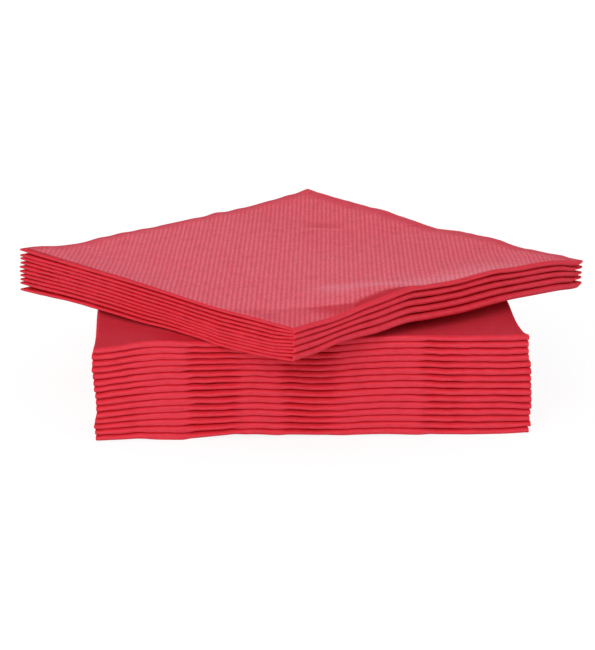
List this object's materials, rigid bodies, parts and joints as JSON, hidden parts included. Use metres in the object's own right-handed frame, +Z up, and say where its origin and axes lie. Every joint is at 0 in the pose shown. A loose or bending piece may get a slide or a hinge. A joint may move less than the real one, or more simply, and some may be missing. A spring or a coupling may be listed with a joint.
{
  "type": "stack of paper napkins",
  "caption": "Square stack of quarter-folded embossed paper napkins, with a smaller pile lying turned on top of it.",
  "frame": {"origin": "centre of the lower pile's footprint, on the surface that it stands on", "axes": "+X to the right along the front folds of the lower pile, +Y to its back, +Z up"},
  "size_m": [0.283, 0.2837, 0.0722],
  "materials": {
    "red_tissue": "matte embossed tissue"
  },
  "bodies": {
    "root": {"lower_napkin_01": "red_tissue", "lower_napkin_02": "red_tissue", "lower_napkin_03": "red_tissue", "lower_napkin_04": "red_tissue", "lower_napkin_05": "red_tissue", "lower_napkin_06": "red_tissue", "lower_napkin_07": "red_tissue", "lower_napkin_08": "red_tissue", "lower_napkin_09": "red_tissue", "lower_napkin_10": "red_tissue", "lower_napkin_11": "red_tissue", "lower_napkin_12": "red_tissue", "lower_napkin_13": "red_tissue", "lower_napkin_14": "red_tissue", "lower_napkin_15": "red_tissue", "upper_napkin_01": "red_tissue", "upper_napkin_02": "red_tissue", "upper_napkin_03": "red_tissue", "upper_napkin_04": "red_tissue", "upper_napkin_05": "red_tissue"}
  },
  "joints": []
}
